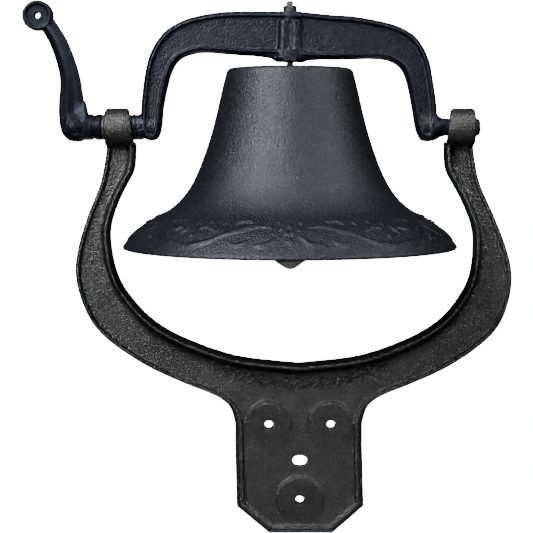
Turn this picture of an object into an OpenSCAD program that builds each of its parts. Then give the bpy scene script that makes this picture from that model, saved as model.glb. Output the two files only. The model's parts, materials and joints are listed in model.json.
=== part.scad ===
// Yard dinner bell: a bell on a swinging yoke, carried by a U-shaped cradle that is
// screwed to the front of a post. X runs along the trunnion axis, Z is up, and the bell
// is seen from -Y. The origin lies on the cradle's back face, in the bell's middle plane,
// level with the two upper post screws.

/* [Cradle] */
// Height of the trunnion axis above the upper post screws
axis_height = 273.5; // [269:0.5:280]
// Thickness of the web and the post plate, behind the raised rims
web_t = 11; // [9:1:13]
// Depth of the flange that lines the inside of the U
flange_depth = 25; // [20:1:28]
// Height of the raised rims above the web
rim_rise = 3; // [2:0.5:5]
// Outer radius of each bearing eye
eye_r = 17.5; // [16:0.5:18]
// Width of the plate that lies on the post
plate_w = 117.5; // [108:0.5:120]
// How far the plate's middle lies to the right of the bell's
plate_offset = 8; // [0:0.5:10]
// How much further right the plate's foot lies than its top
foot_drift = 2; // [0:0.5:3]
// How far the screw holes' middle lies to the right of the bell's
screw_offset = 9; // [0:0.5:10]
// Distance between the two upper post screws
screw_gap = 57; // [50:1:60]
// Drop from the upper post screws to the lower one
screw_drop = 69; // [60:1:74]
// Diameter of the post screw holes
screw_hole_d = 7.5; // [6:0.5:9]

/* [Yoke] */
// Depth of the yoke from front to back
yoke_depth = 24; // [20:1:28]
// Depth of the panels sunk in the yoke's front and back
yoke_panel = 3; // [1:0.5:5]
// Radius of the trunnions
trunnion_r = 8.15; // [7:0.05:9]

/* [Bell] */
// Diameter of the bell's mouth
mouth_d = 305; // [296:1:308]
// Wall thickness at the waist
wall_waist = 6.5; // [5:0.5:8]
// Wall thickness at the lip
wall_lip = 10; // [8:0.5:12]

/* [Eyebolt and clapper] */
// Diameter of the eyebolt that hangs the bell
bolt_d = 6.35; // [5:0.05:7]
// Radius of the clapper's ball
ball_r = 21; // [17:0.5:23]

/* [Pull lever] */
// Thickness of the lever's arm
lever_t = 12; // [8:1:16]
// Diameter of the rope hole in the lever's eye
rope_hole_d = 5; // [4:0.5:8]

/* [Hidden] */
$fn = 96;

cradle_colour = [0.20, 0.20, 0.20];
iron_colour = [0.13, 0.13, 0.16];
steel_colour = [0.25, 0.25, 0.27];

// Trunnion axis: the eyes' backs are flush with the post face.
axis_y = -eye_r;
axis_z = axis_height;
bore_clearance = 0.10;

// Where things stop along X, on each side.
eye_in = 147;
eye_out = 169;
yoke_foot_end = 144.5;
hub_face = 171;
washer_t = 1.6;
shaft_washer_r = 11.5;
bell_washer_r = 10;

// Heights below are measured from the trunnion axis.
bell_top = 54;
bell_bottom = -110;
crown_t = 9;
yoke_top = 105.5;
yoke_under = 65.5;
yoke_boss_under = 60;
bolt_end = 115.5;
nut_af = 11.1;
nut_h = 5.6;

// ---- curves ----

// A point of the smooth curve between b and c, which a and d lead into.
function curve_point(a, b, c, d, t) =
    0.5 * (2 * b + (c - a) * t + (2 * a - 5 * b + 4 * c - d) * t * t
    + (3 * b - a - 3 * c + d) * t * t * t);

// A smooth curve through all the stations, with n steps between each two.
function curve(stations, n) = let (last = len(stations) - 1) concat(
    [for (i = [0 : last - 1]) for (k = [0 : n - 1]) curve_point(
        stations[max(i - 1, 0)], stations[i], stations[i + 1],
        stations[min(i + 2, last)], k / n)],
    [stations[last]]);

// The unit normal on the right-hand side of a path at its point i.
function side(path, i) =
    let (d = path[min(i + 1, len(path) - 1)] - path[max(i - 1, 0)])
    [d[1], -d[0]] / norm(d);

// The path moved sideways by w, to its right.
function beside(path, w) = [for (i = [0 : len(path) - 1]) path[i] + w * side(path, i)];

function reversed(path) = [for (i = [len(path) - 1 : -1 : 0]) path[i]];
function mirrored(path) = [for (p = reversed(path)) [-p[0], p[1]]];

// Stands a drawing in X and Z up, with its thickness reaching from the back forward.
module stand(t) {
    rotate([90, 0, 0]) linear_extrude(t) children();
}

// The same, centred on the trunnion axis in depth.
module stand_mid(t) {
    translate([0, t / 2, 0]) stand(t) children();
}

module at_axis() {
    translate([0, axis_y, axis_z]) children();
}

// A round bar or bore along X, from one x to another.
module along_x(r, from, to) {
    translate([from, 0, 0]) rotate([0, 90, 0]) cylinder(r = r, h = to - from);
}

// A turned shape about the X axis, from points [x, radius].
module turned_x(points) {
    rotate([90, 0, 90]) rotate([0, 0, 90]) rotate_extrude()
        polygon([for (p = points) [p[1], p[0]]]);
}

// A turned shape about a vertical axis, from points [radius, z].
module turned_z(points) {
    rotate_extrude() polygon(points);
}

// ---- cradle ----

plate_half = plate_w / 2;
plate_bottom = -374 + axis_height;
corner_drop = 25;
corner_run = 29.4;
boss_r = 21;
plate_rim = 7;
flange_w = 5;
rim_w = 4;
slot_w = 13;
slot_h = 9.8;
slot_z = -33.7;

// Edges of the right-hand arm, from the eye down. Heights are from the trunnion axis.
arm_outer = curve([[168.6, -6], [168.7, -15], [170, -28], [175, -52], [187, -81], [197, -110],
    [201, -134], [197, -159.5], [185.5, -184], [165.5, -203], [136.5, -221.5], [106, -235.5],
    [82, -245]], 6);
arm_inner = curve([[142.8, -15], [144, -37], [151, -52], [159.6, -69], [167, -91],
    [167.5, -112], [162.4, -138], [149, -161], [129, -181], [100, -197], [56, -211.8],
    [0, -218.3]], 6);
// The fillet that leads the arm into the plate.
plate_fillet = curve([[82, -245], [70.5, -251], [62.8, -259], [plate_half, -273]], 4);

// The outer edge down to the middle of the plate's foot, with heights from the screws.
function lifted(path) = [for (p = path) [p[0], p[1] + axis_height]];
outer_edge = concat(lifted(arm_outer), lifted([for (i = [1 : len(plate_fillet) - 1]) plate_fillet[i]]));
inner_edge = lifted(arm_inner);
plate_side = [[plate_half, -10], [plate_half, plate_bottom + corner_drop],
    [plate_half - corner_run, plate_bottom]];

// The casting leans: from the eyes down to the plate it drifts to the right, and the plate's
// foot drifts a little further.
lean_start = axis_height - 40;
lean_end = axis_height - 250;
drift_start = -20;
function part_way(z, from, to) = min(max((from - z) / (from - to), 0), 1);
function smooth(t) = t * t * (3 - 2 * t);
function lean(z) = plate_offset * smooth(part_way(z, lean_start, lean_end))
    + foot_drift * part_way(z, drift_start, plate_bottom);

// A closed shape from its right-hand half: the outside going down, and the inside.
function both_halves(outside, inside) = [for (p = concat(outside, mirrored(outside),
    reversed(mirrored(inside)), reversed(inside))) [p[0] + lean(p[1]), p[1]]];

module cradle_outline() {
    polygon(both_halves(concat(outer_edge, plate_side), inner_edge));
}

flange_edge = beside(inner_edge, -flange_w);

// The sunk web: it stops short of the flange inside the U and of the rims outside.
module sunk_web() {
    plate_inside = [[plate_half - plate_rim, -10],
        [plate_half - plate_rim, plate_bottom + corner_drop + plate_rim / 2],
        [plate_half - corner_run - plate_rim / 2, plate_bottom + plate_rim]];
    polygon(both_halves(concat(beside(outer_edge, rim_w), plate_inside), flange_edge));
}

// All that lies outside the flange.
module beyond_flange() {
    far = 300;
    polygon(both_halves([[far, axis_height + far], [far, -far]], flange_edge));
}

// Cuts a drawing away in front of a plane at depth t.
module cut_in_front(t) {
    translate([0, -t, 0]) stand(2 * flange_depth) children();
}

module both_sides() {
    children();
    mirror([1, 0, 0]) children();
}

module screw_places() {
    for (p = [[-screw_gap / 2, 0], [screw_gap / 2, 0], [0, -screw_drop]])
        translate([screw_offset + p[0], 0, p[1]]) children();
}

// A round bar or bore along Y, reaching forward from the post face.
module forward(r, from, to) {
    translate([0, -from, 0]) rotate([90, 0, 0]) cylinder(r = r, h = to - from);
}

module slot_bore() {
    reach = (slot_w - slot_h) / 2;
    translate([screw_offset, 0, slot_z]) {
        for (s = [-1, 1]) translate([s * reach, 0, 0]) forward(slot_h / 2, -1, 2 * web_t);
        translate([-reach, -2 * web_t, -slot_h / 2]) cube([2 * reach, 2 * web_t + 1, slot_h]);
    }
}

module cradle() {
    color(cradle_colour) difference() {
        union() {
            difference() {
                stand(flange_depth) cradle_outline();
                cut_in_front(web_t + rim_rise) beyond_flange();
                cut_in_front(web_t) sunk_web();
            }
            both_sides() at_axis() turned_x([[eye_in, 0], [eye_in, eye_r - 2],
                [eye_in + 2, eye_r], [eye_out - 2, eye_r], [eye_out, eye_r - 2], [eye_out, 0]]);
            screw_places() forward(boss_r, web_t / 2, web_t + rim_rise);
        }
        at_axis() along_x(trunnion_r + bore_clearance, -eye_out - 1, -eye_in + 1);
        at_axis() along_x(trunnion_r + bore_clearance, eye_in - 1, eye_out + 1);
        screw_places() forward(screw_hole_d / 2, -1, 2 * web_t);
        slot_bore();
    }
}

// ---- yoke, with the right-hand trunnion cast on it ----

column_r = 14;
bolt_hole_r = 3.5;
foot_r = 12.3;
shaft_end = 122;
pin_r = 2.5;
yoke_pin_x = 137;

bead_w = 4;
// Edges of the two arms, from the column out along the beam and down to the foot. The right half
// of the beam lies a little lower than the left, and its arm stands a little nearer the bell.
left_outer = curve([[column_r, 105.2], [58, 104.8], [86, 100.5], [102, 94.7], [113, 87.5], [121, 78],
    [127.5, 65.6], [131.5, 49.9], [134.5, 27], [135.6, 8], [135, -2]], 5);
left_inner = curve([[column_r, 65.4], [36, 65.6], [55, 66.9], [78, 68.4], [92, 66.2], [102, 60.6],
    [108.3, 50], [112.7, 34], [115.8, 17.6], [118, 4], [119, -2]], 5);
right_outer = curve([[column_r, 104.5], [37, 102], [56, 100.8], [74, 98], [91.5, 94], [101, 90.6],
    [112.6, 83.5], [120.4, 73.9], [126.3, 61.2], [129.5, 46], [132.6, 25], [133.8, 8], [133.5, -2]], 5);
right_inner = curve([[column_r, 62.6], [37, 62.2], [55, 62.4], [73, 62.8], [84, 62.2], [92, 60.2],
    [100, 55.3], [105.1, 47], [109.1, 32], [112, 16.4], [115, 3], [117.5, -2]], 5);

function flipped(path) = [for (p = path) [-p[0], p[1]]];

// Both arms and the beam, with all their edges moved inward by w.
module arch(w) {
    polygon(concat(reversed(beside(right_outer, w)), flipped(beside(left_outer, w)),
        reversed(flipped(beside(left_inner, -w))), beside(right_inner, -w)));
}

// Fillets that spread the column's foot under the beam.
column_foot = [[-30, 70], [-30, 65.6], [-24, 64.8], [-18, 63.2], [-13.5, 60.8], [13.5, 60.6],
    [18, 61.8], [24, 62.4], [24, 70]];

module yoke() {
    color(iron_colour) at_axis() difference() {
        union() {
            difference() {
                stand_mid(yoke_depth) arch(0);
                for (face = [0, 1]) rotate([0, 0, 180 * face])
                    translate([0, -yoke_depth / 2 + yoke_panel, 0])
                        stand(yoke_depth) arch(bead_w);
            }
            // Column round the eyebolt
            stand_mid(yoke_depth - 2 * yoke_panel) polygon(column_foot);
            turned_z([[0, yoke_boss_under], [10.5, yoke_boss_under], [column_r, yoke_under + 1],
                [column_r, 100], [11, yoke_top - 1], [9.3, yoke_top], [0, yoke_top]]);
            // Left foot, with the collar round the shaft's socket
            turned_x([[-yoke_foot_end, 0], [-yoke_foot_end, foot_r], [-118.5, foot_r], [-115, 9],
                [-115, 0]]);
            // Right foot, with its shoulder and trunnion
            turned_x([[115, 0], [115, 9], [118.5, foot_r], [133, foot_r], [135, 11.6], [138, 9.9],
                [yoke_foot_end, trunnion_r], [171, trunnion_r], [173, 6.6], [174, 3.8], [174, 0]]);
        }
        translate([0, 0, yoke_boss_under - 1]) cylinder(r = bolt_hole_r, h = yoke_top);
        along_x(trunnion_r, -yoke_foot_end - 1, -shaft_end);
        translate([-yoke_pin_x, 0, 0]) forward(pin_r, -foot_r - 1, foot_r + 1);
    }
}

// ---- left-hand shaft, its pins and washers, and the pull lever ----

lever_foot_r = 13.5;
lever_pin_x = 196;
shaft_start = 204;
lever_pin_r = 3;
lever_head_r = 5.6;
lever_eye = [-230.5, 102];
lever_eye_r = 14;
lever_foot_half = 12.5;

lever_left = curve([[-222.5, 92], [-219, 76], [-214, 61.5], [-211, 49.5], [-210, 38.5], [-211.4, 22.5],
    [-211, 8], [-207, -4], [-200, -8]], 5);
lever_right = curve([[-214.5, 97.5], [-205, 82], [-197.2, 63.5], [-191.6, 44.5], [-188.2, 22.5],
    [-186, 8], [-186, -8]], 5);

module trunnion_shaft() {
    color(steel_colour) at_axis() difference() {
        along_x(trunnion_r, -shaft_start, -shaft_end);
        translate([-yoke_pin_x, 0, 0]) forward(pin_r, -foot_r, foot_r);
        translate([-lever_pin_x, 0, 0]) forward(lever_pin_r, -foot_r, foot_r);
    }
}

module yoke_pin() {
    color(steel_colour) at_axis() translate([-yoke_pin_x, 0, 0]) forward(pin_r, -12, 12);
}

module shaft_washers() {
    color(steel_colour) at_axis() difference() {
        union() {
            along_x(shaft_washer_r, -hub_face, -hub_face + washer_t);
            along_x(shaft_washer_r, -yoke_foot_end - washer_t, -yoke_foot_end);
        }
        along_x(trunnion_r, -hub_face - 1, -yoke_foot_end + 1);
    }
}

module pull_lever() {
    color(iron_colour) at_axis() difference() {
        union() {
            stand_mid(lever_t) polygon(concat(lever_left, reversed(lever_right)));
            // Thicker root of the arm, down to the foot
            stand_mid(18) polygon([[-212, 26], [-211, 6], [-206, 0], [-188, 0], [-188.5, 22]]);
            translate([lever_eye[0], 0, lever_eye[1]]) forward(lever_eye_r, -lever_t / 2, lever_t / 2);
            // Foot of the lever, with the hub that meets the bearing eye
            turned_x([[-209, 0], [-209, 6], [-206, 10.5], [-201, lever_foot_r], [-191, lever_foot_r],
                [-187, 12], [-180, 12], [-179, 11.2], [-177, 11.2], [-176, 12], [-172.5, 12],
                [-hub_face, 10.5], [-hub_face, 0]]);
            translate([-lever_pin_x, 0, 0]) forward(7, -lever_foot_half - 1.5, lever_foot_half + 1.5);
        }
        along_x(trunnion_r, -shaft_start, -hub_face + 1);
        translate([-lever_pin_x, 0, 0]) forward(lever_pin_r, -20, 20);
        translate([lever_eye[0], 0, lever_eye[1]]) {
            forward(rope_hole_d / 2, -lever_t, lever_t);
            for (s = [-1, 1]) translate([0, s * (lever_t - 1.5), 0]) forward(10, -lever_t / 2, lever_t / 2);
        }
    }
}

module lever_pin() {
    face = lever_foot_half + 1.5;
    color(iron_colour) at_axis() translate([-lever_pin_x, 0, 0]) {
        forward(lever_pin_r, -face, face);
        forward(lever_head_r, face, face + 1.5);
        forward(lever_head_r, -face - 1.5, -face);
    }
}

// ---- bell ----

mouth_r = mouth_d / 2;
bell_outer = curve([[58.8, 48], [62.7, 32], [67.2, 12], [72.5, -8], [78, -25], [86, -45],
    [95.5, -61], [108, -73.5], [122, -81.5], [133, -88.2], [143.6, -97.5], [mouth_r - 1.2, -106.2],
    [mouth_r, -112]], 6);

// The wall's thickness at a height.
function wall(z) = wall_waist + (wall_lip - wall_waist) * (bell_top - z) / (bell_top - bell_bottom);
bell_inner = [for (i = [0 : len(bell_outer) - 1])
    bell_outer[i] + wall(bell_outer[i][1]) * side(bell_outer, i)];

module bell() {
    corner = 5;
    color(iron_colour) at_axis() rotate_extrude() intersection() {
        polygon(concat([[bolt_hole_r, bell_top], [bell_outer[0][0] - corner - 1, bell_top],
            [bell_outer[0][0] - 2, bell_top - 2]], bell_outer, reversed(bell_inner),
            [[46, bell_top - crown_t], [bolt_hole_r, bell_top - crown_t]]));
        translate([0, bell_bottom]) square([mouth_r + 1, bell_top - bell_bottom]);
    }
}

// ---- eyebolt, nuts and washer ----

bolt_r = bolt_d / 2;
bolt_eye_z = 24;
bolt_eye_r = 8.3;

// A round ring of wire lying in a vertical plane; its hole looks along X, or along Y.
module ring(r, wire_r, hole_along_x) {
    rotate(hole_along_x ? [0, 90, 0] : [90, 0, 0])
        rotate_extrude() translate([r, 0]) circle(r = wire_r, $fn = 48);
}

module eyebolt() {
    color(steel_colour) at_axis() {
        translate([0, 0, bolt_eye_z + bolt_eye_r]) cylinder(r = bolt_r, h = bolt_end - bolt_eye_z - bolt_eye_r);
        translate([0, 0, bolt_eye_z]) ring(bolt_eye_r, bolt_r, true);
    }
}

module nut() {
    difference() {
        cylinder(r = nut_af / sqrt(3), h = nut_h, $fn = 6);
        translate([0, 0, -1]) cylinder(r = bolt_r, h = nut_h + 2);
    }
}

module yoke_nut() {
    color(steel_colour) at_axis() translate([0, 0, yoke_top]) nut();
}

module bell_washer() {
    color(steel_colour) at_axis() translate([0, 0, bell_top - crown_t - washer_t]) difference() {
        cylinder(r = bell_washer_r, h = washer_t);
        translate([0, 0, -1]) cylinder(r = bolt_r, h = washer_t + 2);
    }
}

module bell_nut() {
    color(steel_colour) at_axis() translate([0, 0, bell_top - crown_t - washer_t - nut_h]) nut();
}

// ---- clapper ----

hook_wire = 2.5;
hook_r = 6;
// Where the hook hangs in the bolt's eye, and the clapper in the hook
hang_gap = 0.1;
hang_z = bolt_eye_z - bolt_eye_r + bolt_r + hook_wire + hang_gap;
hook_span = 28;
clapper_z = hang_z - hook_span;
rod_wire = 2.75;
rod_eye_r = 6.5;
rod_eye_z = clapper_z + hook_wire + rod_wire + hang_gap - rod_eye_r;
rod_r = 3.5;
ball_z = -107;
rod_bottom = ball_z - 4;

// A link of round wire, its two loops turned a quarter turn to each other.
module clapper_hook() {
    color(steel_colour) at_axis() {
        translate([0, 0, hang_z - hook_r]) ring(hook_r, hook_wire, false);
        translate([0, 0, clapper_z + hook_r]) ring(hook_r, hook_wire, true);
        translate([0, 0, clapper_z + 2 * hook_r]) cylinder(r = hook_wire, h = hook_span - 4 * hook_r);
    }
}

module clapper_rod() {
    color(steel_colour) at_axis() {
        translate([0, 0, rod_eye_z]) ring(rod_eye_r, rod_wire, false);
        translate([0, 0, rod_bottom]) cylinder(r = rod_r, h = rod_eye_z - rod_eye_r - rod_bottom);
    }
}

module clapper_ball() {
    // A neck above, the ball, and a blunt point below it
    neck = [[rod_r, 30], [6.5, 29], [9, 22]];
    round_part = [for (a = [52 : -6 : -44]) ball_r * [cos(a), sin(a)]];
    tip = [[10.5, -18.5], [6, -21.5], [0, -23.2]];
    color(iron_colour) at_axis() translate([0, 0, ball_z])
        turned_z(concat([[rod_r, rod_bottom - ball_z]], neck, round_part, tip,
            [[0, rod_bottom - ball_z]]));
}

cradle();
yoke();
trunnion_shaft();
yoke_pin();
shaft_washers();
pull_lever();
lever_pin();
bell();
eyebolt();
yoke_nut();
bell_washer();
bell_nut();
clapper_hook();
clapper_rod();
clapper_ball();
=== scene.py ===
import json
import math

import bmesh
import bpy
import numpy as np
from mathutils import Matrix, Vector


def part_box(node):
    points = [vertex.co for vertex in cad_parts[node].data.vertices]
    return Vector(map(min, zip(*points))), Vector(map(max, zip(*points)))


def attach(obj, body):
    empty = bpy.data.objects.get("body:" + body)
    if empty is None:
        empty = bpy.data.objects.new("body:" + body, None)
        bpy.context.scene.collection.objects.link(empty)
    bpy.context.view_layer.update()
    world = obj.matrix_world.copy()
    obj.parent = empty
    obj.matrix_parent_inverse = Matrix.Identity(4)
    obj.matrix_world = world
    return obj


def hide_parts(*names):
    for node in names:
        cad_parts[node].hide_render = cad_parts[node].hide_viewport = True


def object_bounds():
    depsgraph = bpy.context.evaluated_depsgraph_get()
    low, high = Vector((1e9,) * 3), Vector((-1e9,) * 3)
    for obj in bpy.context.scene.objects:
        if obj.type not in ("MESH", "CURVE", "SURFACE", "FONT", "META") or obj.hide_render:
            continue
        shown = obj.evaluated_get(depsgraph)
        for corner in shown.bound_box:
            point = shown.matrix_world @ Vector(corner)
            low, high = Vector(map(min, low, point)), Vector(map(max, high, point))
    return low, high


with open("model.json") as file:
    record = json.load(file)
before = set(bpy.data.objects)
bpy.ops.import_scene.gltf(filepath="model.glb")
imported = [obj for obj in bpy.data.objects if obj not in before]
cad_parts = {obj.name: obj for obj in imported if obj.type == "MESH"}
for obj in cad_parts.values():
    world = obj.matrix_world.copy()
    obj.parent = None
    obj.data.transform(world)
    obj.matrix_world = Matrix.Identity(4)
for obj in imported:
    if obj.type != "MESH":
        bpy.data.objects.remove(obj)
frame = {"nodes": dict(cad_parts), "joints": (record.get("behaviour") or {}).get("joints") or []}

import openvdb
from mathutils import Vector

# Castings are worked out in millimetres about the trunnion axis: x along it, y away from the
# viewer, z up. place() turns them into metres in the frame of the CAD model.
MM = 0.001
CAD_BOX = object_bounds()
AXIS = Vector(next(j for j in frame["joints"] if j["name"] == "bell_swing")["pos_m"])
COARSE = 1.0


def local_box(node):
    """A CAD node's lowest and highest corners, in mm about the trunnion axis."""
    low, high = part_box(node)
    return (low - AXIS) / MM, (high - AXIS) / MM


CRADLE_LOW, CRADLE_HIGH = local_box("cradle")
YOKE_HIGH = local_box("yoke")[1]
BELL_LOW, BELL_HIGH = local_box("bell")
POST_FACE = -AXIS.y / MM


# ---- curves and distances ----

def curve(stations, steps):
    """A smooth curve through all the stations, as an array of points."""
    p = [np.array(s, float) for s in stations]
    last = len(p) - 1
    points = []
    for i in range(last):
        a, b, c, d = p[max(i - 1, 0)], p[i], p[i + 1], p[min(i + 2, last)]
        for k in range(steps):
            t = k / steps
            points.append(0.5 * (2 * b + (c - a) * t + (2 * a - 5 * b + 4 * c - d) * t * t
                                 + (3 * b - a - 3 * c + d) * t ** 3))
    return np.array(points + [p[last]])


def flipped(path):
    """The path mirrored left to right."""
    return path * np.array([-1.0, 1.0])


def path_distance(path, x, z):
    """Distance from each point of the grid to an open path in the XZ plane."""
    best = np.full(np.broadcast(x, z).shape, 1e9, np.float32)
    for (x0, z0), (x1, z1) in zip(path[:-1], path[1:]):
        ex, ez = x1 - x0, z1 - z0
        wx, wz = x - x0, z - z0
        t = np.clip((wx * ex + wz * ez) / (ex * ex + ez * ez + 1e-12), 0, 1)
        best = np.minimum(best, (wx - ex * t) ** 2 + (wz - ez * t) ** 2)
    return np.sqrt(best)


def outline_distance(outline, x, z):
    """Distance to a closed outline, negative inside it."""
    closed = np.vstack([outline, outline[:1]])
    inside = np.zeros(np.broadcast(x, z).shape, bool)
    for (x0, z0), (x1, z1) in zip(closed[:-1], closed[1:]):
        if z0 != z1:
            inside ^= ((z0 <= z) != (z1 <= z)) & (x < x0 + (x1 - x0) * (z - z0) / (z1 - z0))
    return np.where(inside, -1, 1) * path_distance(closed, x, z)


def join(a, b, radius):
    """Union of two fields, with a fillet."""
    h = np.clip(0.5 + 0.5 * (b - a) / radius, 0, 1)
    return b + (a - b) * h - radius * h * (1 - h)


def carve(a, b, radius):
    """a with b taken away, with a rounded edge."""
    return -join(-a, b, radius)


def overlap(a, b, radius):
    """What a and b share, with a rounded edge."""
    return -join(-a, -b, radius)


def slab(d, depth, low, high, rounding):
    """A drawing with distance d, given thickness from low to high, its edges rounded."""
    a = d + rounding
    b = np.abs(depth - (low + high) / 2) - (high - low) / 2 + rounding
    outside = np.sqrt(np.maximum(a, 0) ** 2 + np.maximum(b, 0) ** 2)
    return np.minimum(np.maximum(a, b), 0) + outside - rounding


class Field:
    """A block of space sampled every step mm, whose solid is where the values are below 0."""

    def __init__(self, low, high, step):
        self.step = step * COARSE
        self.low = np.array(low, float)
        axes = [np.arange(a, b + self.step, self.step, dtype=np.float32)
                for a, b in zip(low, high)]
        self.x = axes[0][:, None, None]
        self.y = axes[1][None, :, None]
        self.z = axes[2][None, None, :]

    def mesh(self, name, values):
        """The surface where values pass through 0, as an object in the CAD frame."""
        band = 3 * self.step
        values = np.clip(values, -band, band).astype(np.float32)
        grid = openvdb.FloatGrid(background=band)
        grid.copyFromArray(values)
        points, quads = grid.convertToQuads()
        return place(name, points * self.step + self.low, quads)


def smooth(piece):
    """Shades every face smoothly."""
    piece.data.polygons.foreach_set("use_smooth", [True] * len(piece.data.polygons))


def place(name, points_mm, faces):
    """An object from points in mm about the trunnion axis."""
    mesh = bpy.data.meshes.new(name)
    points = np.asarray(points_mm, float) * MM + np.array(AXIS)
    mesh.from_pydata(points.tolist(), [], [list(map(int, f)) for f in faces])
    mesh.update()
    piece = bpy.data.objects.new(name, mesh)
    bpy.context.scene.collection.objects.link(piece)
    smooth(piece)
    return piece


def join_objects(base, others):
    """Takes the others' meshes over into base."""
    mesh = bmesh.new()
    mesh.from_mesh(base.data)
    for other in others:
        mesh.from_mesh(other.data)
        bpy.data.objects.remove(other)
    mesh.to_mesh(base.data)
    mesh.free()
    smooth(base)


def seal(piece, weld=False):
    """Welds points that coincide if asked to, closes open rings and turns faces outward."""
    mesh = bmesh.new()
    mesh.from_mesh(piece.data)
    if weld:
        bmesh.ops.remove_doubles(mesh, verts=mesh.verts, dist=0.01 * MM)
    open_edges = [e for e in mesh.edges if e.is_boundary]
    if open_edges:
        bmesh.ops.holes_fill(mesh, edges=open_edges, sides=0)
    bmesh.ops.recalc_face_normals(mesh, faces=mesh.faces)
    mesh.to_mesh(piece.data)
    mesh.free()
    smooth(piece)


def around(columns):
    """Evenly spaced angles of one full turn."""
    return np.arange(columns) * 2 * math.pi / columns


def arc(cx, cy, r, start, end, steps):
    """Points of an arc from one angle to another, in degrees."""
    a = np.radians(np.linspace(start, end, steps))
    return np.stack([cx + r * np.cos(a), cy + r * np.sin(a)], -1)


def ring_points(r, h, angle):
    """Points at radius r and height h about Z, ring by ring."""
    r = r + 0 * angle
    return np.stack([r * np.cos(angle), r * np.sin(angle), h + 0 * r], -1).reshape(-1, 3)


def grid_faces(rows, columns, close_rows=False):
    """Quads between the rows of a grid of points whose columns close into a ring."""
    i = np.arange(rows if close_rows else rows - 1)[:, None] * columns
    j = np.arange(columns)[None, :]
    k = (j + 1) % columns
    below = (i + columns) % (rows * columns)
    return np.stack([i + j, below + j, below + k, i + k], -1).reshape(-1, 4)


def turned(name, profile, columns, upright=True, centre=(0, 0, 0)):
    """A profile of points (radius, height) turned about Z or, laid down, about Y."""
    points = ring_points(profile[:, :1], profile[:, 1:], around(columns))
    faces = grid_faces(len(profile), columns)
    if not upright:
        points, faces = points[:, [0, 2, 1]], faces[:, ::-1]
    return place(name, points + np.array(centre), faces)


# ---- materials ----

def shader(name, rough, metallic=0.0):
    """A new material, with its node tree and its Principled shader."""
    material = bpy.data.materials.new(name)
    material.use_nodes = True
    tree = material.node_tree
    bsdf = tree.nodes["Principled BSDF"]
    bsdf.inputs["Roughness"].default_value = rough
    bsdf.inputs["Metallic"].default_value = metallic
    return material, tree, bsdf


def noise_node(tree, where, scale, detail, roughness):
    """Fine-grained noise over the object's own coordinates."""
    node = tree.nodes.new("ShaderNodeTexNoise")
    node.inputs["Scale"].default_value = scale
    node.inputs["Detail"].default_value = detail
    node.inputs["Roughness"].default_value = roughness
    tree.links.new(where, node.inputs["Vector"])
    return node.outputs["Fac"]


def ramp(tree, source, low, high, start, end):
    """Turns a value from low..high into start..end, numbers or colours."""
    if isinstance(start, tuple):
        node = tree.nodes.new("ShaderNodeValToRGB")
        node.color_ramp.elements[0].position = low
        node.color_ramp.elements[1].position = high
        node.color_ramp.elements[0].color = (*start, 1)
        node.color_ramp.elements[1].color = (*end, 1)
        tree.links.new(source, node.inputs["Fac"])
        return node.outputs["Color"]
    node = tree.nodes.new("ShaderNodeMapRange")
    for key, value in zip(("From Min", "From Max", "To Min", "To Max"), (low, high, start, end)):
        node.inputs[key].default_value = value
    tree.links.new(source, node.inputs["Value"])
    return node.outputs["Result"]


def add(tree, a, b, share):
    """a + share * b."""
    node = tree.nodes.new("ShaderNodeMath")
    node.operation = "MULTIPLY_ADD"
    tree.links.new(b, node.inputs[0])
    node.inputs[1].default_value = share
    tree.links.new(a, node.inputs[2])
    return node.outputs[0]


def roughen(tree, bsdf, height, strength, distance_mm):
    """Bumps the surface by a height."""
    bump = tree.nodes.new("ShaderNodeBump")
    bump.inputs["Strength"].default_value = strength
    bump.inputs["Distance"].default_value = distance_mm * MM
    tree.links.new(height, bump.inputs["Height"])
    tree.links.new(bump.outputs["Normal"], bsdf.inputs["Normal"])


def painted_iron(name, dark, light, rough, gloss, tint, grain_mm, relief_mm):
    """Satin black paint over sand-cast iron: an even grain with pits, in faint patches."""
    material, tree, bsdf = shader(name, rough[0])
    bsdf.inputs["Specular IOR Level"].default_value = gloss
    bsdf.inputs["Specular Tint"].default_value = (*tint, 1)
    where = tree.nodes.new("ShaderNodeTexCoord").outputs["Object"]
    grain = noise_node(tree, where, 1 / (grain_mm * MM), 1.6, 0.5)
    patches = noise_node(tree, where, 30, 3.0, 0.6)
    pits = tree.nodes.new("ShaderNodeTexVoronoi")
    pits.inputs["Scale"].default_value = 0.62 / (grain_mm * MM)
    tree.links.new(where, pits.inputs["Vector"])
    tree.links.new(ramp(tree, grain, 0.50, 0.66, dark, light), bsdf.inputs["Base Color"])
    tree.links.new(ramp(tree, patches, 0.3, 0.7, *rough), bsdf.inputs["Roughness"])
    roughen(tree, bsdf, add(tree, grain, pits.outputs["Distance"], 0.22), 1.0, relief_mm)
    return material


def blackened_steel(name, dark, light):
    """Forged or rolled steel with a black finish, rubbed a little brighter in places."""
    material, tree, bsdf = shader(name, 0.4, metallic=0.85)
    where = tree.nodes.new("ShaderNodeTexCoord").outputs["Object"]
    rubbed = noise_node(tree, where, 260, 5.0, 0.65)
    scratches = noise_node(tree, where, 1400, 2.0, 0.5)
    tree.links.new(ramp(tree, rubbed, 0.42, 0.75, dark, light), bsdf.inputs["Base Color"])
    tree.links.new(ramp(tree, rubbed, 0.3, 0.7, 0.52, 0.32), bsdf.inputs["Roughness"])
    roughen(tree, bsdf, add(tree, rubbed, scratches, 0.4), 0.6, 0.08)
    return material


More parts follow.
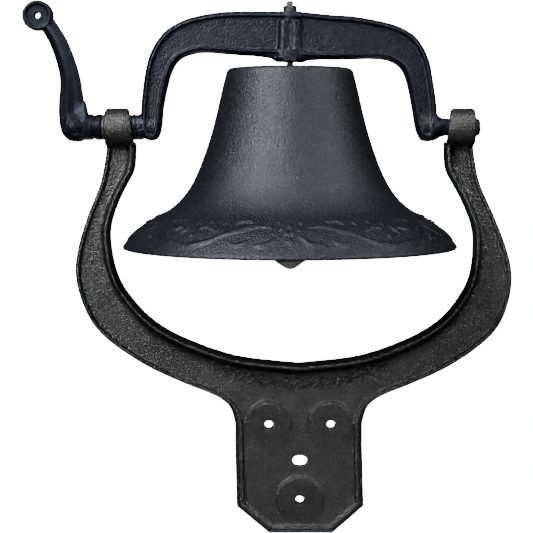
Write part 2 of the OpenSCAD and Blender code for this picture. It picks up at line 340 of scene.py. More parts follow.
CRADLE_PAINT = painted_iron(
    "cradle_paint", dark=(0.001, 0.001, 0.001), light=(0.015, 0.015, 0.0145), rough=(0.27, 0.35),
    gloss=0.62, tint=(1.0, 1.0, 1.0), grain_mm=1.35, relief_mm=1.1)
BELL_PAINT = painted_iron(
    "bell_paint", dark=(0.002, 0.002, 0.004), light=(0.012, 0.012, 0.017), rough=(0.38, 0.44),
    gloss=0.42, tint=(0.90, 0.91, 1.0), grain_mm=1.4, relief_mm=0.85)
YOKE_PAINT = painted_iron(
    "yoke_paint", dark=(0.001, 0.0015, 0.003), light=(0.007, 0.0076, 0.012), rough=(0.28, 0.35),
    gloss=0.32, tint=(0.78, 0.83, 1.0), grain_mm=1.35, relief_mm=0.7)
# The lever's copy of the yoke's paint is made darker: painted shade that keeps the lever nearly black
# under the softboxes.
LEVER_SHADED_PAINT = painted_iron(
    "lever_shaded_paint", dark=(0.001, 0.0012, 0.0025), light=(0.003, 0.0035, 0.006), rough=(0.36, 0.44),
    gloss=0.20, tint=(0.68, 0.74, 1.0), grain_mm=1.2, relief_mm=0.35)
# The clapper's own neutral grey, made lighter as painted light where the lamps don't reach its underside.
CLAPPER_GREY_AND_LIT_PAINT = painted_iron(
    "clapper_grey_and_lit_paint", dark=(0.012, 0.012, 0.012), light=(0.045, 0.045, 0.045), rough=(0.40, 0.50),
    gloss=0.3, tint=(1.0, 1.0, 1.0), grain_mm=1.5, relief_mm=0.8)
STEEL = blackened_steel("black_steel", (0.030, 0.031, 0.034), (0.16, 0.16, 0.165))


def finish(piece, node, body, material):
    """The piece stands for a CAD node, moves with its body and takes this material."""
    piece.data.materials.clear()
    piece.data.materials.append(material)
    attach(piece, body)
    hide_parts(node)
    return piece


def sand_cast(piece, depth_mm):
    """Uneven skin of a sand casting, worn inwards only so that it stays inside the CAD part."""
    texture = bpy.data.textures.new(piece.name, "CLOUDS")
    texture.noise_scale = 0.007
    texture.noise_depth = 3
    skin = piece.modifiers.new("skin", "DISPLACE")
    skin.texture = texture
    skin.texture_coords = "LOCAL"
    skin.mid_level = 1.0
    skin.strength = depth_mm * MM
    return piece


# ---- cradle ----

ARM_OUTER = [(168.6, -6), (168.7, -15), (170, -28), (175, -52), (187, -81), (197, -110), (201, -134),
             (197, -159.5), (185.5, -184), (165.5, -203), (136.5, -221.5), (106, -235.5), (82, -245),
             (70.5, -251), (62.8, -259), (58.75, -273)]
ARM_INNER = [(142.8, -15), (144, -37), (151, -52), (159.6, -69), (167, -91), (167.5, -112),
             (162.4, -138), (149, -161), (129, -181), (100, -197), (56, -211.8), (0, -218.3)]
SCREW_Z = -AXIS.z / MM
SCREWS = [(-28.5, SCREW_Z), (28.5, SCREW_Z), (0, SCREW_Z - 69)]
SCREW_R, BOSS_R = 3.75, 21.5
SLOT_Z, SLOT_HALF_W, SLOT_HALF_H = SCREW_Z - 33.7, 6.5, 4.9
SLOT_MEAN, SLOT_POWER = 5.5, 2.4
PLATE_HALF, PLATE_CORNER_Z, PLATE_FOOT_HALF = 58.75, CRADLE_LOW.z + 25, 29.35
# The casting leans to the right: its plate, its foot on top of that, and the screws
PLATE_OFFSET, FOOT_DRIFT, SCREW_OFFSET = 8.0, 2.0, 9.0
WEB_T, FLANGE_T, FLANGE_W, RIM_RISE = 11.0, 25.0, 3.2, 3.0
EYE_R, EYE_IN, EYE_OUT = 17.5, 147.0, 169.0
SHAFT_R = 8.25
BORDER_R, BORDER_FOOT_Z, BORDER_PITCH, BORDER_COUNT = 166.0, -236.5, 0.034, 14
LOZENGE_HALF, LINE_HALF, DOT_R = 4.3, 0.75, 1.5


def make_border():
    """A raised running border under the U: lozenge outlines with a dot between each two."""
    f = Field((-92, -6, -241), (108, 20, -204), 0.55)
    x = f.x - PLATE_OFFSET
    z = f.z - BORDER_FOOT_Z
    d = np.full(np.broadcast(x, z).shape, 50.0, np.float32)
    for k in range(-BORDER_COUNT, BORDER_COUNT + 1):
        a = k * BORDER_PITCH
        from_x = x - BORDER_R * math.sin(a)
        from_z = z - BORDER_R * (1 - math.cos(a))
        along = np.abs(from_x * math.cos(a) + from_z * math.sin(a))
        up = np.abs(from_z * math.cos(a) - from_x * math.sin(a))
        if k % 2:
            one = np.hypot(along, up) - DOT_R
        else:
            one = np.abs((along + up - LOZENGE_HALF) * 0.71) - LINE_HALF
        d = np.minimum(d, one)
    return f.mesh("cradle_border", slab(d, POST_FACE - f.y, WEB_T - 2, WEB_T + 2.3, 0.6))


def cradle_frame(across, forward, z):
    """The web with its flange inside the U, its raised rim and the bevel outside the rim."""
    x = np.abs(across)
    inner = curve(ARM_INNER, 6)
    foot = [(PLATE_HALF, PLATE_CORNER_Z), (PLATE_FOOT_HALF, CRADLE_LOW.z), (0, CRADLE_LOW.z)]
    edge = np.vstack([curve(ARM_OUTER, 6), foot])
    # The outline runs past the mirror line, so that no edge lies along it
    half = np.vstack([edge, [(-40, CRADLE_LOW.z), (-40, -217.5)], inner[::-1]])
    d = outline_distance(half, x, z)
    from_inner = path_distance(inner, x, z)
    from_edge = path_distance(edge, x, z)
    solid = slab(d, forward, 0, WEB_T, 1.8)
    # The flange slopes down to the web, most of all above the plate
    spread = 0.18 + 0.24 * np.clip((-165 - z) / 45, 0, 1)
    draft = (from_inner - FLANGE_W - spread * (FLANGE_T - forward)) / (1 + 0.5 * spread)
    solid = join(solid, slab(np.maximum(d, draft), forward, 0, FLANGE_T, 1.3), 5.0)
    # The rim is thin on the arms and broader on the plate
    on_plate = np.clip((-240 - z) / 30, 0, 1)
    middle = 2.9 + 2.6 * on_plate
    half_w = 1.5 + 0.7 * on_plate
    rim = slab(np.abs(from_edge - middle) - half_w, forward, WEB_T - 4, WEB_T + RIM_RISE, 0.7)
    solid = join(solid, np.maximum(np.maximum(rim, d + 0.4), z + 16), 1.0)
    bevel = forward - (WEB_T + RIM_RISE) + 1.7 * np.maximum(middle - half_w - from_edge, 0)
    return overlap(solid, np.where(from_inner + 0 * forward < 9, -9, bevel * 0.55), 0.9)


def bearing_eyes(solid, f):
    """Adds the eyes, each with a lip that wraps round the front of the yoke's foot."""
    turn = np.hypot(f.y, f.z)
    x = np.abs(f.x)
    solid = join(solid, slab(turn - EYE_R, x, EYE_IN, EYE_OUT, 2.6), 4.0)
    slope = (EYE_IN - x) - np.clip(3.2 - 0.16 * f.z, 0, 5.6)
    ends = np.maximum(x - EYE_OUT + 3, f.y + 3)
    lip = np.maximum(np.maximum(turn - EYE_R + 0.5, slope), ends)
    lip = np.maximum(np.maximum(lip, f.z - 12), 13.6 - turn)
    solid = join(solid, lip, 1.6)
    return carve(solid, turn - SHAFT_R + 0 * x, 0.8)


def make_cradle():
    low = (CRADLE_LOW.x - 3, -21, CRADLE_LOW.z - 3)
    high = (CRADLE_HIGH.x + 3, 21, CRADLE_HIGH.z + 3)
    f = Field(low, high, 1.2)
    z = f.z
    lean = np.clip((-40 - z) / 210, 0, 1)
    drift = FOOT_DRIFT * np.clip((SCREW_Z - 20 - z) / (SCREW_Z - 20 - CRADLE_LOW.z), 0, 1)
    across = f.x - PLATE_OFFSET * lean * lean * (3 - 2 * lean) - drift
    from_screws = f.x - SCREW_OFFSET
    forward = POST_FACE - f.y
    solid = cradle_frame(across, forward, z)
    for sx, sz in SCREWS:
        # The bosses stand out above their holes and die away into the web below them
        boss = np.hypot(from_screws - sx, z - sz) - BOSS_R
        sunk = forward + 3.4 * np.clip((sz - z) / (2 * BOSS_R) + 0.5, 0, 1)
        solid = join(solid, slab(boss, sunk, WEB_T - 4, WEB_T + RIM_RISE + 0.3, 1.5), 0.7)
    solid = bearing_eyes(solid, f)
    for sx, sz in SCREWS:
        hole = np.hypot(from_screws - sx, z - sz) - SCREW_R
        solid = carve(solid, hole + 0 * f.y, 0.8)
    # The slot is an oval with slightly squared ends
    across_slot = np.abs(from_screws / SLOT_HALF_W) ** SLOT_POWER
    up_slot = np.abs((z - SLOT_Z) / SLOT_HALF_H) ** SLOT_POWER
    slot = SLOT_MEAN * (across_slot + up_slot) ** (1 / SLOT_POWER) - SLOT_MEAN
    solid = carve(solid, slot + 0 * f.y, 1.0)
    piece = f.mesh("cradle_casting", np.maximum(solid, -forward))
    join_objects(piece, [make_border()])
    sand_cast(piece, 0.30)
    return finish(piece, "cradle", "cradle", CRADLE_PAINT)


# ---- yoke ----

YOKE_TOP = 105.5
LEFT_OUTER = [(14, 105.2), (58, 104.8), (86, 100.5), (102, 94.7), (113, 87.5), (121, 78), (127.5, 65.6),
              (131.5, 49.9), (134.5, 27), (135.6, 8), (134.8, -5), (131, -10.8), (125.5, -12.2)]
LEFT_INNER = [(14, 65.4), (36, 65.6), (55, 66.9), (78, 68.4), (92, 66.2), (102, 60.6), (108.3, 50),
              (112.7, 34), (115.8, 17.6), (117, 4), (118.5, -5), (121.3, -10.2), (125.5, -12.2)]
RIGHT_OUTER = [(14, 104.5), (37, 102), (56, 100.8), (74, 98), (91.5, 94), (101, 90.6), (112.6, 83.5),
               (120.4, 73.9), (126.3, 61.2), (129.5, 46), (132.6, 25), (133.8, 8), (133.2, -5),
               (130, -10.8), (125, -12.2)]
RIGHT_INNER = [(14, 62.6), (37, 62.2), (55, 62.4), (73, 62.8), (84, 62.2), (92, 60.2), (100, 55.3),
               (105.1, 47), (109.1, 32), (112, 16.4), (114, 4), (116.2, -5), (119.5, -10.2), (125, -12.2)]
COLUMN_FOOT = [(-30, 70), (-30, 65.6), (-24, 64.8), (-18, 63.2), (-13.5, 60.8), (13.5, 60.6), (18, 61.8),
               (24, 62.4), (24, 70)]
FOOT_R, FOOT_END = 12.3, 144.5
PANEL_HALF, EDGE_HALF, EDGE_W = 8.0, 8.8, 4.6
BORE_R, BOLT_BORE_R, YOKE_PIN_X, YOKE_PIN_R = 8.15, 3.5, -137, 2.5


def yoke_arch(f):
    """A hollowed panel between two rolled edges, each bevelled on its outside."""
    edges = [curve(RIGHT_OUTER, 6), curve(RIGHT_INNER, 6)[::-1],
             flipped(curve(LEFT_INNER, 6)), flipped(curve(LEFT_OUTER, 6))[::-1]]
    d = outline_distance(np.vstack(edges), f.x, f.z)
    rim_half = EDGE_HALF + 1.15 * np.clip(-d, 0, 2.9)
    rim = overlap(np.maximum(d, -d - EDGE_W), np.abs(f.y) - rim_half, 1.3)
    return join(slab(d, f.y, -PANEL_HALF, PANEL_HALF, 1.5), rim, 1.6)


def bolt_column(solid, f):
    """Adds the column round the bolt: two ribs on each face that spread towards the foot."""
    x, y, z = f.x, f.y, f.z
    below = np.clip((84 - z) / 21, 0, 1) ** 1.7
    column = np.maximum(np.hypot(x, y / 1.2) - 9.4 - 3.6 * below, np.abs(z - 82.6) - 22.6)
    rib_x = 5.2 + 1.8 * below
    rib_r = 5.0 + 1.3 * below
    rib = np.hypot(np.abs(x) - rib_x, (np.abs(y) - 13.6 + rib_r)) - rib_r
    solid = join(solid, column, 4.2)
    solid = join(solid, np.maximum(rib, np.abs(z - 80) - 17.5), 0.8)
    spread = outline_distance(np.array(COLUMN_FOOT, float), x, z)
    solid = join(solid, slab(spread, y, -9.5, 9.5, 2.5), 3.0)
    return join(solid, slab(np.hypot(x, y / 1.25) - 9.6, z, 95, YOKE_TOP, 1.4), 1.2)


def yoke_feet(solid, f):
    """Adds the round feet about the trunnion axis and, on the right, the trunnion itself."""
    turn = np.hypot(f.y, f.z)
    foot = slab(turn - FOOT_R + 2.6, np.abs(f.x), 119, 133, 5.0)
    solid = join(solid, foot, 1.5)
    collar = slab(turn - FOOT_R + 0.4, -f.x, 133.5, FOOT_END, 1.6)
    collar = carve(collar, np.hypot(-f.x - 139.6, turn - FOOT_R) - 0.9, 0.8)
    solid = join(solid, collar, 2.6)
    neck_r = BORE_R + 3.6 * np.clip((143 - f.x) / 10, 0, 1) ** 2
    solid = join(solid, slab(turn - neck_r, f.x, 120, FOOT_END + 1, 0.4), 4.5)
    return np.minimum(solid, slab(turn - BORE_R, f.x, 130, YOKE_HIGH.x, 3.4))


def make_yoke():
    f = Field((-148, -16, -15), (176, 16, 108), 0.8)
    x, y, z = f.x, f.y, f.z
    solid = yoke_feet(bolt_column(yoke_arch(f), f), f)
    # Room for the shaft, the bolt and the pin
    solid = np.maximum(solid, -np.maximum(np.hypot(y, z) - BORE_R, x + 122))
    solid = np.maximum(solid, BOLT_BORE_R - np.hypot(x, y))
    solid = carve(solid, np.hypot(x - YOKE_PIN_X, z) - YOKE_PIN_R + 0 * y, 0.1)
    solid = np.maximum(solid, z - YOKE_TOP)
    solid = np.maximum(solid, np.abs(y) - 13.95)
    piece = sand_cast(f.mesh("yoke_casting", solid), 0.22)
    return finish(piece, "yoke", "swing", YOKE_PAINT)


# ---- pull lever ----

LEVER_LEFT = [(-226, 88), (-219.5, 76), (-214, 61.5), (-211, 49.5), (-210, 38.5), (-211.2, 22.5),
              (-211, 8), (-208, -2), (-202, -10), (-196, -13)]
LEVER_RIGHT = [(-216, 99), (-205, 82), (-197.2, 63.5), (-191.6, 44.5), (-188.2, 22.5), (-186.3, 8),
               (-186.5, -8), (-190, -13)]
LEVER_EYE, LEVER_EYE_R = (-230.5, 102), 14.0
LEVER_PIN_X, LEVER_PIN_BORE_R, LEVER_BOSS_R = -196, 3.0, 7.0
HUB_R, HUB_FROM, HUB_TO = 12.0, 171.0, 204.0
ROPE_HOLE_R = 2.5
LEVER_SHOULDER = [(-210, 6), (-203, 11), (-187, 23.5), (-184.5, 10), (-186, -6), (-206, -5)]


def lever_arm(f):
    """The curved arm: a ridge runs down it left of its middle, with a shallow valley beside it."""
    left = curve(LEVER_LEFT, 6)
    right = curve(LEVER_RIGHT, 6)
    d = outline_distance(np.vstack([left, right[::-1]]), f.x, f.z)
    from_left = path_distance(left, f.x, f.z)
    share = from_left / (from_left + path_distance(right, f.x, f.z))
    half = np.interp(share, [0, 0.1, 0.38, 0.62, 0.85, 1], [3.6, 4.8, 7.8, 4.9, 4.7, 3.6])
    return overlap(d, np.abs(f.y) - half, 1.6)


def lever_foot(solid, f):
    """Adds the round foot, the grooved hub, the shoulder and the boss round the cross pin."""
    x, y, z = f.x, f.y, f.z
    turn = np.hypot(y, z)
    hub = slab(turn - HUB_R, -x, HUB_FROM, HUB_TO, 2.0)
    hub = carve(hub, np.hypot(-x - 178.5, turn - 12.4) - 1.7, 0.8)
    foot = np.sqrt(((x + 197) / 12.5) ** 2 + (y / 13.2) ** 2 + ((z - 0.2) / 12.8) ** 2)
    foot = foot * 12.8 - 12.8
    solid = join(join(solid, foot, 3.0), hub, 1.2)
    # Below a slanting line the arm steps forward to the thickness of its foot
    above_line = -0.596 * (x + 203) + 0.803 * (z - 10.5)
    shoulder = outline_distance(np.array(LEVER_SHOULDER, float), x, z)
    step = np.abs(y) - 4.5 - np.clip(-0.55 * above_line, 0, 7.5)
    solid = join(solid, overlap(shoulder, step, 2.4), 2.6)
    from_pin = np.hypot(x - LEVER_PIN_X, z)
    solid = join(solid, slab(from_pin - LEVER_BOSS_R, y, -14, 14, 0.8), 0.8)
    groove = np.maximum(np.abs(from_pin - LEVER_BOSS_R - 0.9) - 0.6, 11.6 - np.abs(y))
    return carve(solid, groove, 1.0)


def rope_eye(solid, f):
    """Adds the eye for the pull rope, dished on both faces."""
    eye_from = np.hypot(f.x - LEVER_EYE[0], f.z - LEVER_EYE[1])
    solid = join(solid, slab(eye_from - LEVER_EYE_R, f.y, -6, 6, 1.6), 1.8)
    for side in (-1, 1):
        dish = np.maximum(eye_from - 9.6 - 0.5 * (side * f.y - 4.5), 4.5 - side * f.y)
        solid = carve(solid, dish, 0.8)
    return carve(solid, eye_from - ROPE_HOLE_R + 0 * f.y, 0.5)


def make_lever():
    f = Field((-247, -17, -17), (-168, 17, 118), 0.6)
    x, y, z = f.x, f.y, f.z
    solid = rope_eye(lever_foot(lever_arm(f), f), f)
    # Room for the shaft and the pin
    solid = np.maximum(solid, -np.maximum(np.hypot(y, z) - BORE_R, -x - HUB_TO))
    solid = np.maximum(solid, LEVER_PIN_BORE_R - np.hypot(x - LEVER_PIN_X, z) + 0 * y)
    solid = np.maximum(solid, x + HUB_FROM)
    piece = sand_cast(f.mesh("lever_casting", solid), 0.15)
    return finish(piece, "pull_lever", "swing", LEVER_SHADED_PAINT)


# ---- bell ----

BELL_OUTER = [(58.8, 48), (62.7, 32), (67.2, 12), (72.5, -8), (78, -25), (86, -45), (95.5, -61),
              (108, -73.5), (122, -81.5), (133, -88.2), (143.6, -97.5), (151.3, -106.2)]
BAND_TOP, BAND_FOOT = -78.0, -103.0
SCROLLS, SCROLL_HALF, SCROLL_RISE = 3, 13.0, 1.25
WALL_CROWN, WALL_LIP = 6.5, 10.0


def resampled(path, spacing):
    """The path with its points spacing(radius, height) mm apart."""
    seg = np.hypot(*np.diff(path, axis=0).T)
    dense = np.concatenate([[0], np.cumsum(seg)])
    points, s = [], 0.0
    while s < dense[-1]:
        r = np.interp(s, dense, path[:, 0])
        h = np.interp(s, dense, path[:, 1])
        points.append((r, h))
        s += spacing(r, h)
    return np.array(points)


def stroke(u, v, points, width):
    """Height of a leaf or stem along a smooth path, tapering to both ends."""
    path = curve(points, 8)
    best = np.full(u.shape, 9.0)
    for i in range(len(path) - 1):
        (u0, v0), (u1, v1) = path[i], path[i + 1]
        e = (u1 - u0) ** 2 + (v1 - v0) ** 2
        t = np.clip(((u - u0) * (u1 - u0) + (v - v0) * (v1 - v0)) / e, 0, 1)
        taper = width * (0.25 + 0.75 * math.sin(math.pi * (i + 0.5) / (len(path) - 1)))
        gap = np.hypot(u - u0 - t * (u1 - u0), v - v0 - t * (v1 - v0))
        best = np.minimum(best, gap / taper)
    return np.clip(1 - best ** 2, 0, 1) ** 0.7


def ornament(u, v):
    """Relief of a leafy scroll, from 0 to 1: u mm from its middle, v mm up, 13 to each edge."""
    parts = [
        stroke(u, v, [(16, 5), (32, 5.5), (46, 1), (58, -2.5)], 2.6),
        stroke(u, v, [(55, -2), (70, -8), (86, -10.5), (98, -9)], 2.3),
        stroke(u, v, [(98, -9), (112, -7), (124, -3), (134, 3)], 1.8),
        stroke(u, v, [(8, -3), (16, -8), (27, -9.5)], 2.2),
        stroke(u, v, [(34, 10), (42, 11), (50, 8)], 1.9),
        stroke(u, v, [(46, -8), (40, -9), (34, -6)], 1.7),
        stroke(u, v, [(66, 1), (74, 4), (84, 3)], 1.6),
        stroke(u, v, [(104, 9), (118, 11), (132, 8), (141, 9)], 2.0),
        stroke(u, v, [(103, 3), (112, 1), (121, 4), (130, 7)], 1.7),
        stroke(u, v, [(100, -2), (96, 3), (103, 9)], 1.6),
        stroke(u, v, [(134, -8), (141, -5), (148, -8)], 1.9),
    ]
    berries = [(0, 6.5, 2.3), (7.5, 3.5, 2.0), (2.5, 0, 2.2), (0, -6, 2.5), (9.5, 9.5, 1.6),
               (61, 8.5, 2.1), (76, 9.5, 1.9), (90, 7, 1.9), (86, -3, 1.7)]
    for du, dv, size in berries:
        parts.append(np.clip(1 - (np.hypot(u - du, v - dv) / size) ** 2, 0, 1) ** 0.5)
    return np.max(parts, axis=0)


def bell_profile():
    """The bell's cross-section, down its outside and up its inside, close-set where it curves."""
    top, foot = BELL_HIGH.z, BELL_LOW.z
    outer = curve(BELL_OUTER, 8)
    wall = WALL_CROWN + (WALL_LIP - WALL_CROWN) * (top - outer[:, 1]) / (top - foot)
    run = np.gradient(outer, axis=0)
    run /= np.hypot(run[:, 0], run[:, 1])[:, None]
    inner = outer + wall[:, None] * np.stack([run[:, 1], -run[:, 0]], -1)
    inner = inner[inner[:, 1] > foot + 4]
    crown = np.vstack([[(3.5, top - 1), (3.9, top), (30, top)],
                       arc(53.0, top - 5.2, 5.2, 90, 12, 7)])
    lip = np.vstack([[(BELL_HIGH.x - 0.1, foot + 1.6)],
                     arc(BELL_HIGH.x - 1.6, foot + 1.4, 1.4, -15, -90, 4),
                     [(BELL_HIGH.x - 6, foot), (BELL_HIGH.x - 9, foot + 0.5)]])
    roof = [(49, top - 10.5), (44, top - 9), (20, top - 9), (3.9, top - 9),
            (3.5, top - 8), (3.5, top - 1)]

    def spacing(r, h):
        on_outside = r > np.interp(-h, -outer[:, 1], outer[:, 0]) - 3
        fine = on_outside and BAND_FOOT - 3 < h < BAND_TOP + 3
        if fine or (r > 45 and h > top - 10) or h < foot + 4:
            return 1.15 * COARSE
        return (3.2 if on_outside else 7.0) * COARSE

    return resampled(np.vstack([crown, outer, lip, inner[::-1], roof]), spacing)


def make_bell():
    profile = bell_profile()
    angle = around(int(640 / COARSE) // 6 * 6)
    run = np.gradient(np.vstack([profile[-1:], profile, profile[:1]]), axis=0)[1:-1]
    run /= np.hypot(run[:, 0], run[:, 1])[:, None] + 1e-9
    out = np.stack([-run[:, 1], run[:, 0]], -1)
    r, h = profile[:, :1], profile[:, 1:]
    # Where the band lies, v runs up the bell's side from its middle and u round the bell
    along = np.concatenate([[0], np.cumsum(np.hypot(*np.diff(profile, axis=0).T))])[:, None]
    outside = (out[:, :1] > 0) & (r > 100)
    in_band = outside & (h < BAND_TOP) & (h > BAND_FOOT)
    middle = along[in_band].mean()
    reach = np.ptp(along[in_band]) / 2
    mean_r = r[in_band].mean()
    part = 2 * math.pi / SCROLLS
    turn = (angle + math.pi / 2 + part / 2) % part - part / 2
    u = np.abs(turn)[None, :] * mean_r + 0 * h
    v = (middle - along) * SCROLL_HALF / reach + 0 * u
    fade = np.clip(1.15 - np.abs(v) / SCROLL_HALF, 0, 0.15) / 0.15
    lift = SCROLL_RISE * ornament(u, v) * fade * outside
    points = ring_points(r + lift * out[:, :1], h + lift * out[:, 1:], angle)
    piece = place("bell_casting", points, grid_faces(len(profile), len(angle), close_rows=True))
    sand_cast(piece, 0.10)
    return finish(piece, "bell", "bell", BELL_PAINT)


# ---- hardware ----

def bar(name, path, radius, columns=28):
    """A round bar with rounded ends along a path of points."""
    p = np.array(path, float)
    tangent = np.gradient(p, axis=0)
    tangent /= np.linalg.norm(tangent, axis=1)[:, None]
    side = np.array([0.0, 1.0, 0.0]) if abs(tangent[0][1]) < 0.8 else np.array([1.0, 0.0, 0.0])
    angle = around(columns)[:, None]
    rings = []
    for ahead in tangent:
        side = side - ahead * side.dot(ahead)
        side /= np.linalg.norm(side)
        rings.append(radius * (np.cos(angle) * side + np.sin(angle) * np.cross(ahead, side)))
    slopes = np.radians([30, 60, 88])
    start = [p[0] - tangent[0] * radius * 0.5 * math.sin(a) + math.cos(a) * rings[0] for a in slopes]
    end = [p[-1] + tangent[-1] * radius * 0.5 * math.sin(a) + math.cos(a) * rings[-1] for a in slopes]
    points = start[::-1] + [centre + ring for centre, ring in zip(p, rings)] + end
    piece = place(name, np.vstack(points), grid_faces(len(points), columns))
    seal(piece)
    return piece


def ring_path(centre, radius, along_x, start=0, end=360, steps=48):
    """Points of a circle in the YZ plane (its hole looks along X) or in the XZ plane."""
    a = np.radians(np.linspace(start, end, steps))
    flat, up = radius * np.cos(a), radius * np.sin(a)
    zero = 0 * a
    points = np.stack([zero, flat, up] if along_x else [flat, zero, up], -1)
    return points + np.array(centre)


BOLT_R, PITCH, THREAD = 3.175, 1.27, 0.34
BOLT_EYE_Z, BOLT_EYE_R, BOLT_END = 24.0, 8.3, 115.5
NUT_AF, NUT_H = 11.1, 5.6


def make_eyebolt():
    """A rod bent into an eye at its foot, with rolled threads on its shank."""
    low = BOLT_EYE_Z + BOLT_EYE_R
    rows_z = np.arange(low, BOLT_END, 0.16 * COARSE)[:, None]
    angle = around(32)
    phase = (rows_z / PITCH + angle[None, :] / (2 * math.pi)) % 1.0
    depth = THREAD * 2 * np.abs(phase - 0.5)
    threaded = np.clip((rows_z - low - 3) / 1.5, 0, 1)
    end = np.clip((BOLT_END - rows_z) / 0.9, 0, 1)
    r = (BOLT_R - depth * threaded) * (0.72 + 0.28 * end)
    shank = place("eyebolt_rod", ring_points(r, rows_z, angle), grid_faces(len(rows_z), len(angle)))
    seal(shank)
    # The eye starts under the shank and comes round to touch it
    eye_points = ring_path((0, 0, BOLT_EYE_Z), BOLT_EYE_R, True, 90, 90 + 352)
    join_objects(shank, [bar("eye", eye_points, BOLT_R - 0.05)])
    return finish(shank, "eyebolt", "swing", STEEL)


def make_nut(name, node, low_z):
    f = Field((-8, -8, low_z - 1), (8, 8, low_z + NUT_H + 1), 0.22)
    x, y, z = f.x, f.y, f.z
    flats = [x * math.cos(a) + y * math.sin(a) for a in np.radians([90, 30, 150])]
    hexagon = np.max([np.abs(v) for v in np.broadcast_arrays(*flats)], axis=0) - NUT_AF / 2
    body = slab(hexagon, z, low_z, low_z + NUT_H, 0.25)
    r = np.hypot(x, y)
    middle = low_z + NUT_H / 2
    from_face = np.abs(z - middle) - NUT_H / 2
    chamfer = (r - 6.55 + 1.75 * (from_face + 0.4)) / 2.0
    body = overlap(body, chamfer, 0.35)
    body = carve(body, r - BOLT_R - 0.45 - 0.6 * np.clip(from_face + 0.5, 0, 1), 0.25)
    return finish(f.mesh(name, body), node, "swing", STEEL)


def ring_profile(inner_r, outer_r, low, high, rounding):
    """Closed cross-section of a washer or a collar, its outer corners rounded."""
    parts = [[(inner_r, high), (outer_r - rounding, high)],
             arc(outer_r - rounding, high - rounding, rounding, 80, 0, 4),
             arc(outer_r - rounding, low + rounding, rounding, 0, -80, 4),
             [(outer_r - rounding, low), (inner_r, low), (inner_r, high)]]
    return np.vstack(parts)


def make_washer(name, node, low_z, thickness, outer_r):
    profile = ring_profile(BOLT_R + 0.1, outer_r, low_z, low_z + thickness, 0.4)
    piece = turned(name, profile, 64)
    seal(piece, weld=True)
    return finish(piece, node, "swing", STEEL)


HANG_Z = BOLT_EYE_Z - BOLT_EYE_R + BOLT_R + 2.5 + 0.1
HOOK_R, HOOK_WIRE, HOOK_SPAN = 6.0, 2.5, 28.0
CLAPPER_Z = HANG_Z - HOOK_SPAN


def make_hook():
    """A link bent from one rod: a loop each way, a quarter turn apart."""
    upper = ring_path((0, 0, HANG_Z - HOOK_R), HOOK_R, False, -78, 262, 40)
    lower = ring_path((0, 0, CLAPPER_Z + HOOK_R), HOOK_R, True, 102, 440, 40)
    middle_z = CLAPPER_Z + 2 * HOOK_R + np.linspace(-1.0, 5.0, 8)
    link = bar("clapper_link", upper, HOOK_WIRE)
    join_objects(link, [bar("link_foot", lower, HOOK_WIRE),
                        bar("link_middle", [(0, 0, z) for z in middle_z], HOOK_WIRE)])
    return finish(link, "clapper_hook", "hook", STEEL)


ROD_WIRE, ROD_EYE_R, ROD_R = 2.75, 6.5, 3.5
ROD_EYE_Z = CLAPPER_Z + HOOK_WIRE + ROD_WIRE + 0.1 - ROD_EYE_R
BALL_R, BALL_Z = 21.0, -107.0


def make_clapper():
    eye = bar("clapper_eye", ring_path((0, 0, ROD_EYE_Z), ROD_EYE_R, False, -84, 262, 44), ROD_WIRE)
    rod_z = np.linspace(ROD_EYE_Z - ROD_EYE_R - 0.5, BALL_Z - 3, 30)
    rod = bar("clapper_shank", [(0, 0, z) for z in rod_z], ROD_R)
    join_objects(rod, [eye])
    finish(rod, "clapper_rod", "clapper", STEEL)
    sphere = arc(0, 0, BALL_R, 52, -48, 34)
    neck = curve([(3.6, 30), (6.2, 29.2), (8.6, 24.5), tuple(sphere[0])], 4)[:-1]
    tip = curve([tuple(sphere[-1]), (10.0, -18.4), (4.6, -22.0), (0.3, -23.3)], 5)[1:]
    profile = np.vstack([neck, sphere, tip])
    ball = turned("clapper_bob", profile[::-1], 96, centre=(0, 0, BALL_Z))
    seal(ball)
    sand_cast(ball, 0.22)
    return finish(ball, "clapper_ball", "clapper", CLAPPER_GREY_AND_LIT_PAINT)


def make_pins():
    """Riveted cross pins: the lever's shows a round head on the front of its foot."""
    head = [(4.9 * r + 0.05, 14.0 + 1.45 * h) for r, h in arc(0, 0, 1.0, 90, 0, 6)]
    shank = [(5.55, 14.0), (3.0, 13.9), (3.0, -13.9), (5.55, -14.0)]
    rivet = np.array(head + shank + [(r, -h) for r, h in head[::-1]])
    piece = turned("lever_rivet", rivet, 40, upright=False, centre=(LEVER_PIN_X, 0, 0))
    seal(piece)
    finish(piece, "lever_pin", "swing", LEVER_SHADED_PAINT)
    low, high = local_box("yoke_pin")
    half = (high.y - low.y) / 2
    end = [(0.1, half), (1.9, half), (2.45, half - 0.5)]
    pin = np.array(end + [(r, -h) for r, h in end[::-1]])
    piece = turned("yoke_cross_pin", pin, 32, upright=False, centre=((low.x + high.x) / 2, 0, 0))
    seal(piece)
    return finish(piece, "yoke_pin", "swing", YOKE_PAINT)


def dress_cad_nodes():
    """The shaft and its washers are turned parts whose CAD shape is already right."""
    for node in ("trunnion_shaft", "shaft_washers"):
        mesh = frame["nodes"][node].data
        mesh.materials.clear()
        mesh.materials.append(STEEL)


# ---- stage ----

FLOOR_DROP, WALL_R, CORNER_R, WALL_H = 260, 2800, 700, 4200
LIGHTS = [
    # name, place about the trunnion axis (m), size (m), power (W), spread (degrees)
    ("left_softbox", (-1.0, -1.0, 1.1), (0.22, 1.6), 11, 60),
    ("right_softbox", (1.28, -0.72, 1.1), (0.18, 1.6), 5.5, 60),
    ("top_softbox", (0.0, -0.15, 1.6), (1.2, 0.3), 1.8, 120),
    ("front_fill", (-0.5, -1.25, 0.4), (0.5, 0.3), 0.8, 40),
    ("back_softbox", (0.0, 1.1, -1.4), (0.9, 0.6), 3.0, 120),
    ("floor_bounce", (0.0, -0.8, -1.2), (1.4, 0.5), 1.2, 120),
    ("low_fill", (0.3, -1.2, -0.9), (0.6, 0.3), 1.3, 120),
]


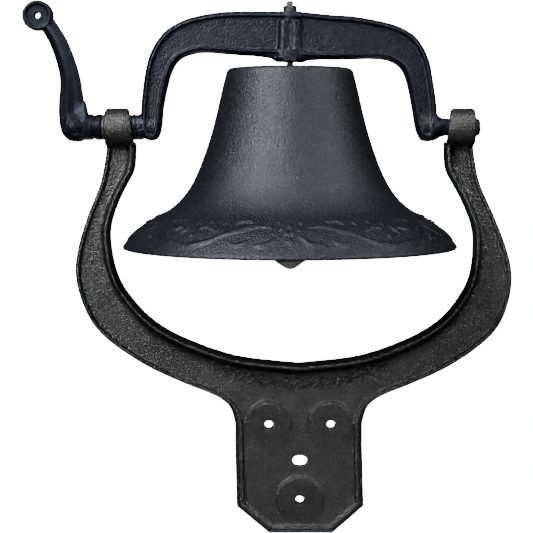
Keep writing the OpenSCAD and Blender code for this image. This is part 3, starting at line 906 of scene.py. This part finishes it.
def make_stage():
    """A round pale studio: floor, round corner and wall in one sheet all the way about the bell."""
    floor_z = CAD_BOX[0][2] / MM - AXIS.z / MM - FLOOR_DROP
    corner = arc(WALL_R - CORNER_R, floor_z + CORNER_R, CORNER_R, -90, 0, 12)
    profile = np.vstack([[(1, floor_z), (1000, floor_z)], corner, [(WALL_R, floor_z + WALL_H)]])
    sweep = turned("studio_sweep", profile, 72)
    material, _, bsdf = shader("studio_white", 0.9)
    bsdf.inputs["Base Color"].default_value = (0.9, 0.9, 0.9, 1)
    bsdf.inputs["Emission Color"].default_value = (1, 1, 1, 1)
    bsdf.inputs["Emission Strength"].default_value = 20.0
    bsdf.inputs["Specular IOR Level"].default_value = 0.0
    sweep.data.materials.append(material)
    sweep.visible_glossy = False
    sweep.visible_diffuse = False


def area_light(name, where, size, power, beam_deg):
    """A softbox that looks at the upper part of the bell."""
    light = bpy.data.lights.new(name, "AREA")
    light.shape = "RECTANGLE"
    light.size, light.size_y = size
    light.energy = power
    light.spread = math.radians(beam_deg)
    lamp = bpy.data.objects.new(name, light)
    bpy.context.scene.collection.objects.link(lamp)
    lamp.location = AXIS + Vector(where)
    look = AXIS + Vector((0, 0, 0.02)) - lamp.location
    lamp.rotation_euler = look.to_track_quat("-Z", "Y").to_euler()


def make_light():
    for light in LIGHTS:
        area_light(*light)
    world = bpy.data.worlds.new("studio")
    world.use_nodes = True
    world.node_tree.nodes["Background"].inputs["Color"].default_value = (0.9, 0.95, 1.0, 1)
    world.node_tree.nodes["Background"].inputs["Strength"].default_value = 0.025
    bpy.context.scene.world = world


def make_camera():
    camera = bpy.data.objects.new("camera", bpy.data.cameras.new("camera"))
    bpy.context.scene.collection.objects.link(camera)
    camera.data.lens = 96
    camera.location = AXIS + Vector((0, -1.3, -0.015))
    camera.rotation_euler = (math.pi / 2, 0, 0)
    # The camera is level with the bell, and the frame takes in the cradle below it
    camera.data.shift_x = -0.044
    camera.data.shift_y = -0.2305
    bpy.context.scene.camera = camera


make_camera()
make_light()
make_stage()
make_cradle()
make_yoke()
make_lever()
make_bell()
make_eyebolt()
make_nut("yoke_hex_nut", "yoke_nut", YOKE_TOP)
make_nut("bell_hex_nut", "bell_nut", local_box("bell_nut")[0].z)
make_washer("bell_flat_washer", "bell_washer", local_box("bell_washer")[0].z, 1.6, 10.0)
make_hook()
make_clapper()
make_pins()
dress_cad_nodes()
